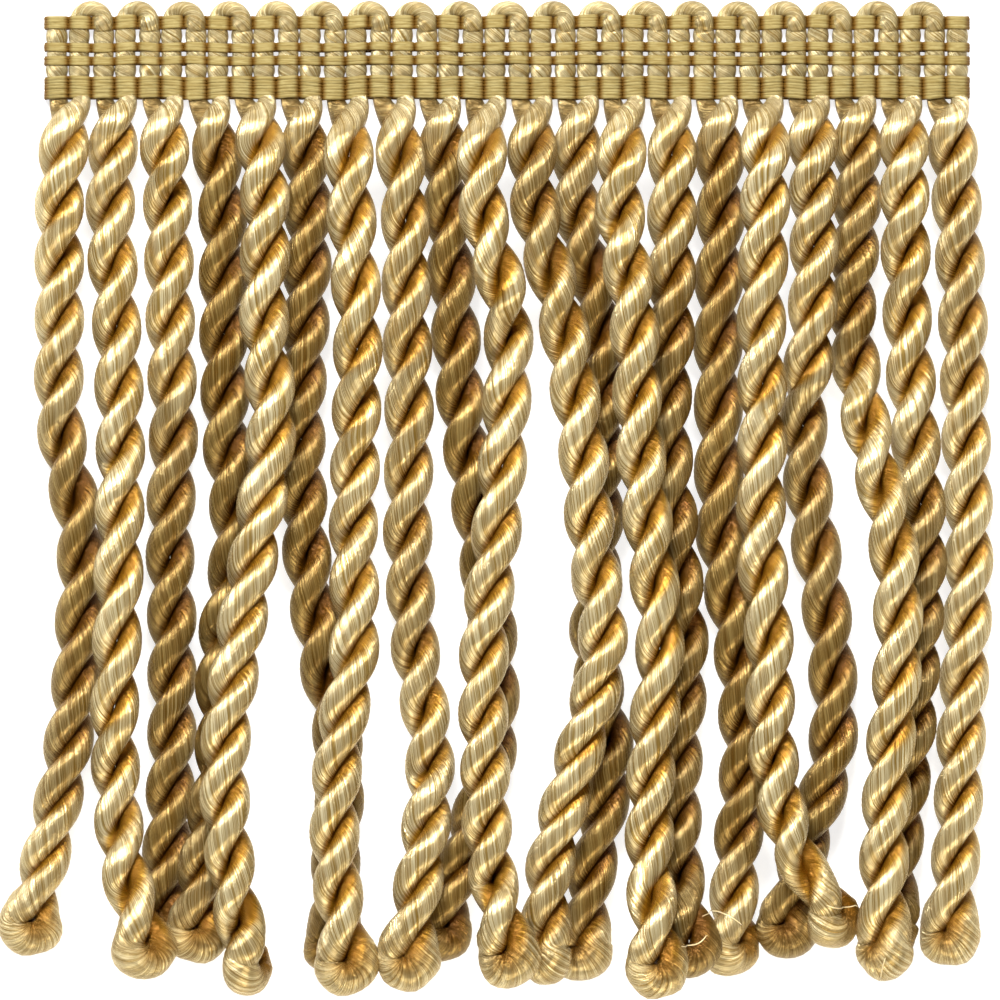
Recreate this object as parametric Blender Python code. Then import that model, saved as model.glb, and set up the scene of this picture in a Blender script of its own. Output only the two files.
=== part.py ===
"""Cord fringe trim: a cut length of woven heading with a row of twisted bullion cords.

The trim lies on its back, so the heading's flat back is at z = 0 and the cords hang
towards -Y. One yarn makes all of the fringe: it goes up one column of the heading, over
a scallop, down the next column, and its two ends ply together into cords that close in
a turned loop. The cords are much fuller than the space they hang in, so they cross and
lie on each other. Metres, +Z up, origin in the middle of the heading's back.
"""
import math
from collections import namedtuple

import bmesh
import bpy
import numpy as np

MM = 0.001

# Heading: a flat woven band of ribs, one rib for each pass of the yarn
CORD_COUNT = 20
COLUMN_COUNT = 2 * CORD_COUNT
COLUMN_PITCH = 3.57 * MM
HEADING_LENGTH = COLUMN_COUNT * COLUMN_PITCH
POINTS_PER_COLUMN = 2
SCALLOP_RISE = 1.9 * MM

# Each row across the heading: its place, the height of a rib there, and how deep the
# groove between two ribs is. The warps pull the ribs in, and they swell between warps.
Row = namedtuple("Row", "y rib groove")
HEADING_ROWS = [
    Row(4.75, 1.5, 0.0),
    Row(4.55, 2.7, 0.6),
    Row(3.70, 2.4, 0.3),
    Row(2.80, 2.7, 0.8),
    Row(1.70, 3.4, 1.3),
    Row(0.60, 2.8, 0.8),
    Row(0.00, 2.4, 0.3),
    Row(-1.10, 3.0, 1.0),
    Row(-2.15, 2.4, 0.3),
    Row(-3.50, 3.3, 1.3),
    Row(-4.50, 2.6, 0.6),
    Row(-4.70, 1.5, 0.0),
]
STRIP_ROWS = [
    Row(-5.00, 1.6, 0.0),
    Row(-5.30, 2.5, 0.4),
    Row(-7.30, 2.5, 0.4),
    Row(-7.70, 1.6, 0.0),
]
STRIP_EDGE = -7.70 * MM

# Cords: two plies round a common axis, seen here as a twisted four-sided bar
PLY_RADIUS = 2.0 * MM
PLY_OFFSET = 1.88 * MM
CORE_RADIUS = 1.6 * MM
LOOP_OFFSET = 2.7 * MM
BAR_HALF_WIDTH = 3.4 * MM
BAR_HALF_DEPTH = 1.65 * MM
HALF_TURNS = 14
STEPS_PER_HALF_TURN = 4
CORD_PITCH = 2 * COLUMN_PITCH
ROOT_SHIFT = 0.46 * MM
ROOT_HEIGHT = 1.45 * MM
ROOT_DEPTH = 1.6 * MM
ROOT_THICKNESS = 0.65
ROOT_RISE = 5.0 * MM
ROOT_SPREAD = 12.0 * MM
LOOP_LENGTH = 3.0 * MM
FLOOR_HEIGHT = 3.82 * MM

# The end of each bar, where the yarn turns back: distance past the loop's centre and
# thickness there
LOOP_SHAPE = [(1.2 * MM, 1.22), (3.4 * MM, 1.0), (4.8 * MM, 0.5)]

# How the cords lie. Sway is the cord's distance from its root, to the right, in mm, at
# every 17 mm down from the strip and at the loop. Layer says which cord is on top where
# two meet: the higher number lies over the lower one.
STATION = 17 * MM
Lie = namedtuple("Lie", "drop sway layer")
CORDS = {
    "a": Lie(127.8, (-1.5, -1.7, -1.5, 1.5, 1.2, -0.6, -4.2, -6.2), (3, 2, 0, 0, 0, 2, 3, 2)),
    "b": Lie(130.9, (-1.0, 0.0, 0.6, 0.7, 0.3, -0.2, 1.5, 4.8), (2, 3, 8, 9, 9, 9, 8, 7)),
    "c": Lie(126.3, (0.7, 1.1, 1.6, 1.1, 1.4, 1.3, 0.4, -0.5), (3, 3, 2, 0, 0, 0, 0, 0)),
    "d": Lie(128.6, (2.0, 2.2, 2.6, 3.9, 2.0, 1.6, -0.9, -1.8), (0, 0, 0, 0, 0, 0, 1, 1)),
    "e": Lie(133.5, (1.7, 1.5, 2.7, 0.4, -2.3, -4.3, -3.3, -1.1), (7, 9, 9, 9, 9, 9, 8, 4)),
    "f": Lie(130.9, (1.0, 0.5, -0.1, 0.5, 2.8, 5.8, 5.2, 4.9), (0, 0, 0, 0, 0, 0, 0, 0)),
    "g": Lie(133.5, (0.6, 1.6, 1.3, 0.8, 1.1, -1.4, -1.7, 0.0), (4, 4, 4, 6, 9, 9, 9, 9)),
    "h": Lie(132.7, (1.7, 2.0, 2.3, 2.1, 3.2, 5.5, 4.1, 2.1), (1, 1, 1, 1, 2, 4, 6, 8)),
    "i": Lie(128.6, (1.0, 2.1, 3.6, 6.1, 8.1, 7.8, 2.7, 0.1), (0, 0, 0, 0, 0, 0, 0, 0)),
    "j": Lie(132.1, (-0.7, 3.1, 2.8, 1.4, -0.4, -0.3, 0.7, 3.3), (9, 9, 9, 9, 9, 9, 9, 5)),
    "k": Lie(131.7, (0.2, 4.3, 7.1, 8.8, 10.6, 6.8, 2.5, 1.8), (2, 7, 9, 9, 9, 9, 6, 2)),
    "l": Lie(131.7, (-0.4, 3.0, 3.6, 3.0, 2.3, 4.6, 2.0, 0.4), (1, 1, 0, 0, 0, 0, 0, 0)),
    "m": Lie(133.5, (-1.0, 1.0, 1.8, 3.4, 5.1, 3.8, 3.6, 4.5), (5, 9, 9, 9, 9, 9, 9, 9)),
    "n": Lie(130.9, (-0.1, -0.3, -0.8, 0.3, 1.9, 0.9, 1.1, 2.6), (3, 1, 1, 1, 1, 1, 1, 1)),
    "o": Lie(130.9, (0.4, 0.0, 0.1, 0.4, 2.9, 4.0, 2.7, 2.0), (0, 0, 0, 0, 0, 0, 0, 0)),
    "p": Lie(126.3, (-0.2, -0.7, -0.5, -0.7, 0.5, 1.2, 5.9, 10.4), (6, 8, 9, 9, 9, 9, 9, 8)),
    "q": Lie(128.3, (0.3, 0.0, -1.2, 0.6, 3.1, 3.1, -1.8, -3.8), (3, 7, 3, 2, 0, 0, 0, 0)),
    "r": Lie(130.9, (0.0, -0.8, 1.2, 4.8, 5.7, 4.5, 3.7, 3.8), (0, 0, 4, 9, 9, 9, 9, 9)),
    "s": Lie(128.3, (0.0, 0.6, 1.6, 2.7, 1.9, 0.8, -1.1, -1.9), (4, 4, 2, 1, 1, 1, 1, 1)),
    "t": Lie(129.4, (1.1, 2.0, 2.5, 3.0, 2.5, 1.6, 0.8, 0.0), (0, 0, 0, 0, 0, 0, 0, 0)),
}

# Settling: samples down the cords, the gap kept between two cords, and how far ahead a
# stiff cord starts to rise towards a crossing
SAMPLE = 0.5 * MM
CORD_GAP = 0.6 * MM
BEND_REACH = 4.0 * MM
NEIGHBOURS = 3
SWEEPS = 12


def clear_scene():
    """Remove whatever objects are in the file."""
    for thing in list(bpy.data.objects):
        bpy.data.objects.remove(thing)


def new_collection(name):
    """Add a collection to the scene."""
    collection = bpy.data.collections.new(name)
    bpy.context.scene.collection.children.link(collection)
    return collection


def yarn_material(name, colour, roughness):
    """Make a plain material in the yarn's colour."""
    material = bpy.data.materials.new(name)
    material.use_nodes = True
    shader = material.node_tree.nodes["Principled BSDF"]
    shader.inputs["Base Color"].default_value = (*colour, 1.0)
    shader.inputs["Roughness"].default_value = roughness
    shader.inputs["Metallic"].default_value = 0.0
    return material


def scallop(x):
    """Give the rise of the top edge at x: one arch over each pair of joined columns."""
    span = 2 * COLUMN_PITCH
    across = (x / span) - math.floor(x / span + 0.5)
    is_end = abs(x) > HEADING_LENGTH / 2 - COLUMN_PITCH
    if is_end:
        return 0.0
    return SCALLOP_RISE * math.sqrt(max(0.0, 1 - (2.1 * across) ** 2))


def ribbed_band(name, rows, has_scallops, collection):
    """Make a flat-backed band whose face has one rib for each column."""
    columns = COLUMN_COUNT * POINTS_PER_COLUMN
    bm = bmesh.new()
    bmesh.ops.create_grid(bm, x_segments=columns, y_segments=len(rows) - 1, size=0.5)
    for vert in bm.verts:
        step = round((vert.co.x + 0.5) * columns)
        row = rows[round((0.5 - vert.co.y) * (len(rows) - 1))]
        in_groove = step % POINTS_PER_COLUMN == 0
        x = (step / columns - 0.5) * HEADING_LENGTH
        y = row.y * MM
        if has_scallops and row.y > rows[2].y:
            y += scallop(x)
        z = row.rib - (row.groove if in_groove else 0.0)
        vert.co = (x, y, z * MM)
    rim = [edge for edge in bm.edges if edge.is_boundary]
    wall = bmesh.ops.extrude_edge_only(bm, edges=rim)["geom"]
    foot = [item for item in wall if isinstance(item, bmesh.types.BMVert)]
    for vert in foot:
        vert.co.z = 0.0
    foot_edges = [edge for edge in bm.edges if edge.is_boundary]
    bmesh.ops.contextual_create(bm, geom=foot_edges)
    bmesh.ops.recalc_face_normals(bm, faces=bm.faces)
    mesh = bpy.data.meshes.new(name)
    bm.to_mesh(mesh)
    bm.free()
    band = bpy.data.objects.new(name, mesh)
    collection.objects.link(band)
    return band


def smooth_read(places, values, at):
    """Read a smooth curve through the values, with a Hermite span between places."""
    slopes = np.gradient(values, places)
    span = np.clip(np.searchsorted(places, at) - 1, 0, len(places) - 2)
    width = places[span + 1] - places[span]
    t = np.clip((at - places[span]) / width, 0.0, 1.0)
    start = values[span] * (1 + 2 * t) + slopes[span] * width * t
    end = values[span + 1] * (3 - 2 * t) - slopes[span + 1] * width * (1 - t)
    return start * (1 - t) ** 2 + end * t ** 2


def stations_of(lie):
    """Give the places down a cord at which its lie is stated."""
    regular = STATION * np.arange(len(lie.sway))
    return np.append(regular, lie.drop * MM)


def smooth_step(t):
    """Ease from 0 to 1."""
    t = np.clip(t, 0.0, 1.0)
    return t * t * (3 - 2 * t)


def lobes(cord):
    """Give a cord's cross-section as circles: two plies and the core between them."""
    for side, radius in ((-1, PLY_RADIUS), (0, CORE_RADIUS), (1, PLY_RADIUS)):
        x = cord["across"] + side * cord["offset"] * np.cos(cord["phase"])
        yield x, side * cord["offset"] * np.sin(cord["phase"]), radius


def needed_rise(upper, lower):
    """Give how far above one cord's centre another one's must be to clear it."""
    rise = np.full(len(upper["across"]), -1.0)
    for upper_x, upper_z, upper_radius in lobes(upper):
        for lower_x, lower_z, lower_radius in lobes(lower):
            reach = upper_radius + lower_radius + CORD_GAP
            apart = np.abs(upper_x - lower_x)
            touch = np.sqrt(np.clip(reach ** 2 - apart ** 2, 0.0, None))
            rise = np.where(apart < reach, np.maximum(rise, touch + lower_z - upper_z), rise)
    return np.where(upper["is_there"] & lower["is_there"], rise, -1.0)


def eased(height):
    """Round a cord's path: it starts to rise before a crossing and comes down after."""
    reach = round(BEND_REACH / SAMPLE)
    padded = np.pad(height, reach, mode="edge")
    windows = np.lib.stride_tricks.sliding_window_view(padded, 2 * reach + 1)
    crest = np.pad(windows.max(axis=1), reach, mode="edge")
    windows = np.lib.stride_tricks.sliding_window_view(crest, 2 * reach + 1)
    weights = np.hanning(2 * reach + 3)[1:-1]
    return windows @ (weights / weights.sum())


def lay_cords():
    """Work out each cord's path: its sway from the table, its height by resting it on
    the cords that it passes over."""
    longest = max(lie.drop for lie in CORDS.values()) * MM + LOOP_LENGTH
    down = np.arange(0.0, longest, SAMPLE)
    cords = []
    for index, lie in enumerate(CORDS.values()):
        places = stations_of(lie)
        root_x = (index - (CORD_COUNT - 1) / 2) * CORD_PITCH + ROOT_SHIFT
        drop = lie.drop * MM
        turning = smooth_step((down - drop + LOOP_LENGTH) / LOOP_LENGTH)
        layer = np.interp(down, places[1:], lie.layer) + 0.01 * index
        cords.append({
            "down": down,
            "drop": drop,
            "across": root_x + smooth_read(places, np.array((0.0,) + lie.sway) * MM, down),
            "layer": layer,
            "phase": math.pi * HALF_TURNS * np.minimum(down / drop, 1.0),
            "offset": PLY_OFFSET + (LOOP_OFFSET - PLY_OFFSET) * turning,
            "is_there": (down > ROOT_SPREAD / 2) & (down < drop + LOOP_SHAPE[-1][0]),
            "height": np.full(len(down), FLOOR_HEIGHT),
        })
    for _ in range(SWEEPS):
        for index, cord in enumerate(cords):
            height = np.full(len(down), FLOOR_HEIGHT)
            near = cords[max(0, index - NEIGHBOURS):index + NEIGHBOURS + 1]
            for other in near:
                is_over = cord["layer"] > other["layer"]
                resting = other["height"] + needed_rise(cord, other)
                height = np.where(is_over, np.maximum(height, resting), height)
            cord["height"] = eased(height)
    for cord in cords:
        off_floor = (cord["height"] - FLOOR_HEIGHT) * smooth_step(down / ROOT_SPREAD)
        off_root = (FLOOR_HEIGHT - ROOT_HEIGHT) * smooth_step(down / ROOT_RISE)
        cord["height"] = ROOT_HEIGHT + off_root + off_floor
    return cords


def bar_section(collection):
    """Make the four-sided outline that is swept down every cord."""
    outline = bpy.data.curves.new("bar_section", "CURVE")
    outline.dimensions = "2D"
    spline = outline.splines.new("POLY")
    spline.points.add(3)
    spline.use_cyclic_u = True
    corners = ((-1, -1), (1, -1), (1, 1), (-1, 1))
    for point, (side, face) in zip(spline.points, corners):
        point.co = (side * BAR_HALF_WIDTH, face * BAR_HALF_DEPTH, 0.0, 1.0)
    section = bpy.data.objects.new("bar_section", outline)
    section.hide_render = True
    section.display_type = "WIRE"
    collection.objects.link(section)
    return section


def cord_bar(name, cord, section, collection):
    """Sweep one cord: a bar whose tilt is the cord's twist, fat and rounded at its loop."""
    drop = cord["drop"]
    steps = HALF_TURNS * STEPS_PER_HALF_TURN
    places = [-ROOT_DEPTH] + [drop * step / steps for step in range(steps + 1)]
    thicknesses = [ROOT_THICKNESS]
    for down in places[1:]:
        swell = LOOP_SHAPE[0][1] - 1.0
        growing = ROOT_THICKNESS + (1 - ROOT_THICKNESS) * smooth_step(down / ROOT_SPREAD)
        thicknesses.append(growing + swell * smooth_step((down - drop + LOOP_LENGTH) / LOOP_LENGTH))
    for past, thickness in LOOP_SHAPE:
        places.append(drop + past)
        thicknesses.append(thickness)
    curve = bpy.data.curves.new(name, "CURVE")
    curve.dimensions = "3D"
    curve.twist_mode = "Z_UP"
    curve.bevel_mode = "OBJECT"
    curve.bevel_object = section
    curve.use_fill_caps = True
    spline = curve.splines.new("POLY")
    spline.points.add(len(places) - 1)
    for point, down, thickness in zip(spline.points, places, thicknesses):
        x = np.interp(down, cord["down"], cord["across"])
        z = np.interp(down, cord["down"], cord["height"])
        point.co = (x, STRIP_EDGE - down, z, 1.0)
        point.tilt = np.interp(down, cord["down"], cord["phase"])
        point.radius = thickness
    bar = bpy.data.objects.new(name, curve)
    collection.objects.link(bar)
    return bar


def curve_to_mesh(curve_object, collection):
    """Swap a curve for its mesh, with the caps welded to the sides."""
    scene_state = bpy.context.evaluated_depsgraph_get()
    mesh = bpy.data.meshes.new_from_object(curve_object.evaluated_get(scene_state))
    bm = bmesh.new()
    bm.from_mesh(mesh)
    bmesh.ops.remove_doubles(bm, verts=bm.verts, dist=0.01 * MM)
    bm.to_mesh(mesh)
    bm.free()
    name = curve_object.name
    solid = bpy.data.objects.new(name + "_mesh", mesh)
    solid.matrix_world = curve_object.matrix_world
    collection.objects.link(solid)
    bpy.data.objects.remove(curve_object)
    return solid


def joined(name, solids, collection):
    """Put several separate meshes into one object."""
    bm = bmesh.new()
    for solid in solids:
        bm.from_mesh(solid.data)
        bpy.data.objects.remove(solid)
    bmesh.ops.recalc_face_normals(bm, faces=bm.faces)
    mesh = bpy.data.meshes.new(name)
    bm.to_mesh(mesh)
    bm.free()
    whole = bpy.data.objects.new(name, mesh)
    whole.hide_render = True
    whole.display_type = "WIRE"
    collection.objects.link(whole)
    return whole


def main():
    """Build the heading and the fringe."""
    clear_scene()
    parts = new_collection("cord_fringe_trim")
    guides = new_collection("guides")

    heading = ribbed_band("heading", HEADING_ROWS, True, parts)
    heading.data.materials.append(yarn_material("heading_yarn", (0.45, 0.33, 0.13), 0.5))

    fringe = ribbed_band("fringe", STRIP_ROWS, False, parts)
    fringe.data.materials.append(yarn_material("bullion_yarn", (0.52, 0.38, 0.15), 0.4))
    section = bar_section(guides)
    bars = []
    for name, cord in zip(CORDS, lay_cords()):
        bar = cord_bar("cord_" + name, cord, section, guides)
        bars.append(curve_to_mesh(bar, guides))
    fuse = fringe.modifiers.new("cords", "BOOLEAN")
    fuse.operation = "UNION"
    fuse.solver = "EXACT"
    fuse.object = joined("cord_bars", bars, guides)


main()
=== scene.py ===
# %% [markdown]
# # A cord fringe trim
# This trim is a cut length of bullion fringe. A shiny gold yarn runs up a narrow woven
# heading, over a scallop and down again, and below the heading its two lengths ply
# together into thick cords that close in a turned loop. The cords are fuller than the
# space they hang in, so they cross. We model every yarn as a swept thread: what makes
# this object look real is the way light runs along its filaments.

# %% Load the fixed frame
import math
from collections import namedtuple

import bmesh
import bpy
import numpy as np
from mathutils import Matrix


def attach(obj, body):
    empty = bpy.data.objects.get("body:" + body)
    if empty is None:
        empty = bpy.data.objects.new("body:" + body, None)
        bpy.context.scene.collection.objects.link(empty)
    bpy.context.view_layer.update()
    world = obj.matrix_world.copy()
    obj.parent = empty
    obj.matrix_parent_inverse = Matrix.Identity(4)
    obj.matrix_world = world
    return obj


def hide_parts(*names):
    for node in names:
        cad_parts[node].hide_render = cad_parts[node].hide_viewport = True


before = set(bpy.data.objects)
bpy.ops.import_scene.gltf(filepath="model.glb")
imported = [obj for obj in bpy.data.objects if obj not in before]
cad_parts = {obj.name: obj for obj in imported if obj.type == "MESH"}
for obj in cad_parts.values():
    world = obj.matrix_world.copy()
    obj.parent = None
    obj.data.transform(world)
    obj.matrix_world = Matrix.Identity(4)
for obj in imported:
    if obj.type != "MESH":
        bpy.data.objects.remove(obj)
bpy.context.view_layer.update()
MM = 0.001

# %% [markdown]
# ## The sizes that drive everything
# A bullion fringe is built on a pitch. Two columns of the heading carry one cord, so
# the cord pitch is twice the column pitch. Two plies of 4 mm laid round each other make
# a cord a little under 8 mm thick.

# %% Sizes of the yarn and the heading
CORD_COUNT = 20
COLUMN_COUNT = 2 * CORD_COUNT
COLUMN_PITCH = 3.57 * MM
CORD_PITCH = 2 * COLUMN_PITCH
HEADING_LENGTH = COLUMN_COUNT * COLUMN_PITCH
STRIP_EDGE = -7.70 * MM

# The plies, the room for their uneven thickness, and the soft core between them
PLY_RADIUS = 2.0 * MM
PLY_OFFSET = 1.88 * MM
PLY_MARGIN = 1.03
CORE_RADIUS = 1.6 * MM
HALF_TURNS = 14

# Where a cord leaves the heading, and how it rises to the height of a free cord
ROOT_SHIFT = 0.46 * MM
ROOT_HEIGHT = 1.45 * MM
ROOT_RISE = 5.0 * MM
ROOT_SPREAD = 12.0 * MM
FLOOR_HEIGHT = 3.82 * MM

# How the plies part and swell towards the loop
LOOP_OFFSET = 2.3 * MM
LOOP_LENGTH = 3.0 * MM
LOOP_LIFT = 1.1 * MM
LOOP_SWELL = 1.20
LOOP_FULL = 1.55
LOOP_REACH = 4.8 * MM
print("cord", round(2 * (PLY_OFFSET + PLY_RADIUS) / MM, 2), "mm thick, heading",
      round(HEADING_LENGTH / MM, 1), "mm long")

# %% [markdown]
# ## How the cords lie
# No formula gives the way real cords fall over each other, so each cord has one row in
# a short table: how far down its loop is, how far it sways to the right at each
# station, and its layer, which says who is on top where two of them meet. No two cords
# are twisted quite alike either, so a second table lets each one's twist run ahead or
# behind at five places on its way down.

# %% One row for each cord, in mm
STATION = 17 * MM
Lie = namedtuple("Lie", "drop sway layer")
CORDS = {
    "a": Lie(127.8, (-1.5, -1.7, -1.5, 1.5, 1.2, -0.6, -4.2, -6.2), (3, 2, 0, 0, 0, 2, 3, 2)),
    "b": Lie(130.9, (-1.0, 0.0, 0.6, 0.7, 0.3, -0.2, 1.5, 4.8), (2, 3, 8, 9, 9, 9, 8, 7)),
    "c": Lie(126.3, (0.7, 1.1, 1.6, 1.1, 1.4, 1.3, 0.4, -0.5), (3, 3, 2, 0, 0, 0, 0, 0)),
    "d": Lie(128.6, (2.0, 2.2, 2.6, 3.9, 2.0, 1.6, -0.9, -1.8), (0, 0, 0, 0, 0, 0, 1, 1)),
    "e": Lie(133.5, (1.7, 1.5, 2.7, 0.4, -2.3, -4.3, -3.3, -1.1), (7, 9, 9, 9, 9, 9, 8, 4)),
    "f": Lie(130.9, (1.0, 0.5, -0.1, 0.5, 2.8, 5.8, 5.2, 4.9), (0, 0, 0, 0, 0, 0, 0, 0)),
    "g": Lie(133.5, (0.6, 1.6, 1.3, 0.8, 1.1, -1.4, -1.7, 0.0), (4, 4, 4, 6, 9, 9, 9, 9)),
    "h": Lie(132.7, (1.7, 2.0, 2.3, 2.1, 3.2, 5.5, 4.1, 2.1), (1, 1, 1, 1, 2, 4, 6, 8)),
    "i": Lie(128.6, (1.0, 2.1, 3.6, 6.1, 8.1, 7.8, 2.7, 0.1), (0, 0, 0, 0, 0, 0, 0, 0)),
    "j": Lie(132.1, (-0.7, 3.1, 2.8, 1.4, -0.4, -0.3, 0.7, 3.3), (9, 9, 9, 9, 9, 9, 9, 5)),
    "k": Lie(131.7, (0.2, 4.3, 7.1, 8.8, 10.6, 6.8, 2.5, 1.8), (2, 7, 9, 9, 9, 9, 6, 2)),
    "l": Lie(131.7, (-0.4, 3.0, 3.6, 3.0, 2.3, 4.6, 2.0, 0.4), (1, 1, 0, 0, 0, 0, 0, 0)),
    "m": Lie(133.5, (-1.0, 1.0, 1.8, 3.4, 5.1, 3.8, 3.6, 4.5), (5, 9, 9, 9, 9, 9, 9, 9)),
    "n": Lie(130.9, (-0.1, -0.3, -0.8, 0.3, 1.9, 0.9, 1.1, 2.6), (3, 1, 1, 1, 1, 1, 1, 1)),
    "o": Lie(130.9, (0.4, 0.0, 0.1, 0.4, 2.9, 4.0, 2.7, 2.0), (0, 0, 0, 0, 0, 0, 0, 0)),
    "p": Lie(126.3, (-0.2, -0.7, -0.5, -0.7, 0.5, 1.2, 5.9, 10.4), (6, 8, 9, 9, 9, 9, 9, 8)),
    "q": Lie(128.3, (0.3, 0.0, -1.2, 0.6, 3.1, 3.1, -1.8, -3.8), (3, 7, 3, 2, 0, 0, 0, 0)),
    "r": Lie(130.9, (0.0, -0.8, 1.2, 4.8, 5.7, 4.5, 3.7, 3.8), (0, 0, 4, 9, 9, 9, 9, 9)),
    "s": Lie(128.3, (0.0, 0.6, 1.6, 2.7, 1.9, 0.8, -1.1, -1.9), (4, 4, 2, 1, 1, 1, 1, 1)),
    "t": Lie(129.4, (1.1, 2.0, 2.5, 3.0, 2.5, 1.6, 0.8, 0.0), (0, 0, 0, 0, 0, 0, 0, 0)),
}
drops = [lie.drop for lie in CORDS.values()]
print(len(CORDS), "cords, their loops", min(drops), "to", max(drops), "mm down")

# %% How far each cord's twist runs ahead, in hundredths of a half turn
TWIST_PLACES = np.array([0.0, 0.11, 0.32, 0.54, 0.75, 0.93, 1.0])
TWIST_AHEAD = {
    "a": (8, 19, 11, -2, -2), "b": (16, 13, 6, -18, -11), "c": (10, 11, 3, 0, 0),
    "d": (-3, -5, 0, 0, 0), "e": (31, 32, 40, 53, 62), "f": (8, 21, 35, 30, 20),
    "g": (-3, -16, -2, -3, 5), "h": (-5, -15, -16, -3, 10), "i": (5, -11, -3, -15, -10),
    "j": (0, -2, -18, -16, 11), "k": (10, 5, 3, 19, 34), "l": (8, 8, 5, 35, 20),
    "m": (5, 10, 8, -6, -2), "n": (0, 0, 0, -8, 3), "o": (3, -10, -32, -32, -24),
    "p": (13, 5, -11, -40, -29), "q": (34, 44, 32, 15, 15), "r": (26, 56, 45, 35, 33),
    "s": (31, 24, 8, 32, 37), "t": (20, 20, 20, 20, 20),
}
print("furthest ahead", max(max(row) for row in TWIST_AHEAD.values()) / 100, "of a half turn")

# %% [markdown]
# ## Let the cords settle
# A rigid-body or cloth solver could drop the cords, but it would not keep each one
# where we want it. Here a small loop does the one thing that matters: where the table
# puts a cord on top of another, it is lifted until the two just touch, and because a
# cord is stiff, it starts to rise before the crossing and comes down after it. The same
# pass notes where a cord lies under or between higher ones, where less light reaches
# it; that shade is painted into its silk as a darker colour.

# %% Read smooth curves, and find how high a cord must ride
SAMPLE = 0.5 * MM
CORD_GAP = 0.6 * MM
BEND_REACH = 4.0 * MM
NEIGHBOURS = 3
SWEEPS = 12
LAYER_STEP = 0.01


def smooth_read(places, values, at):
    """Read a smooth curve through the values, with a Hermite span between places."""
    slopes = np.gradient(values, places)
    span = np.clip(np.searchsorted(places, at) - 1, 0, len(places) - 2)
    width = places[span + 1] - places[span]
    t = np.clip((at - places[span]) / width, 0.0, 1.0)
    start = values[span] * (1 + 2 * t) + slopes[span] * width * t
    end = values[span + 1] * (3 - 2 * t) - slopes[span + 1] * width * (1 - t)
    return start * (1 - t) ** 2 + end * t ** 2


def smooth_step(t):
    """Ease from 0 to 1."""
    t = np.clip(t, 0.0, 1.0)
    return t * t * (3 - 2 * t)


def lobes(cord):
    """Give a cord's cross-section as circles: two plies and the core between them."""
    for side, radius in ((-1, PLY_RADIUS), (0, CORE_RADIUS), (1, PLY_RADIUS)):
        x = cord["across"] + side * cord["offset"] * np.cos(cord["phase"])
        yield x, side * cord["offset"] * np.sin(cord["phase"]), radius


def needed_rise(upper, lower):
    """Give how far above one cord's centre another one's must be to clear it."""
    rise = np.full(len(upper["across"]), -1.0)
    for upper_x, upper_z, upper_radius in lobes(upper):
        for lower_x, lower_z, lower_radius in lobes(lower):
            reach = upper_radius + lower_radius + CORD_GAP
            apart = np.abs(upper_x - lower_x)
            touch = np.sqrt(np.clip(reach ** 2 - apart ** 2, 0.0, None))
            rise = np.where(apart < reach, np.maximum(rise, touch + lower_z - upper_z), rise)
    return np.where(upper["is_there"] & lower["is_there"], rise, -1.0)


def eased(height):
    """Round a cord's path: it starts to rise before a crossing and comes down after."""
    reach = round(BEND_REACH / SAMPLE)
    padded = np.pad(height, reach, mode="edge")
    windows = np.lib.stride_tricks.sliding_window_view(padded, 2 * reach + 1)
    crest = np.pad(windows.max(axis=1), reach, mode="edge")
    windows = np.lib.stride_tricks.sliding_window_view(crest, 2 * reach + 1)
    weights = np.hanning(2 * reach + 3)[1:-1]
    return windows @ (weights / weights.sum())


# %% How much painted shade a cord gets for lying between higher neighbours
BURY_NEAR = 8.0 * MM
BURY_FAR = 12.0 * MM
BURY_LAYERS = 9.0


# Painted shade: a cord under or between higher neighbours is darkened in colour
def painted_shade_under(cord, sides):
    """Give 0 for a cord that lies free and 1 for one under or between higher cords."""
    buried = np.zeros(len(cord["down"]))
    for other in sides:
        apart = np.abs(cord["across"] - other["across"])
        close = smooth_step((BURY_FAR - apart) / (BURY_FAR - BURY_NEAR))
        above = np.clip((other["layer"] - cord["layer"]) / BURY_LAYERS, 0.0, 1.0)
        buried += close * above
    return np.clip(buried, 0.0, 1.0) * smooth_step(cord["down"] / ROOT_SPREAD)


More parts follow.
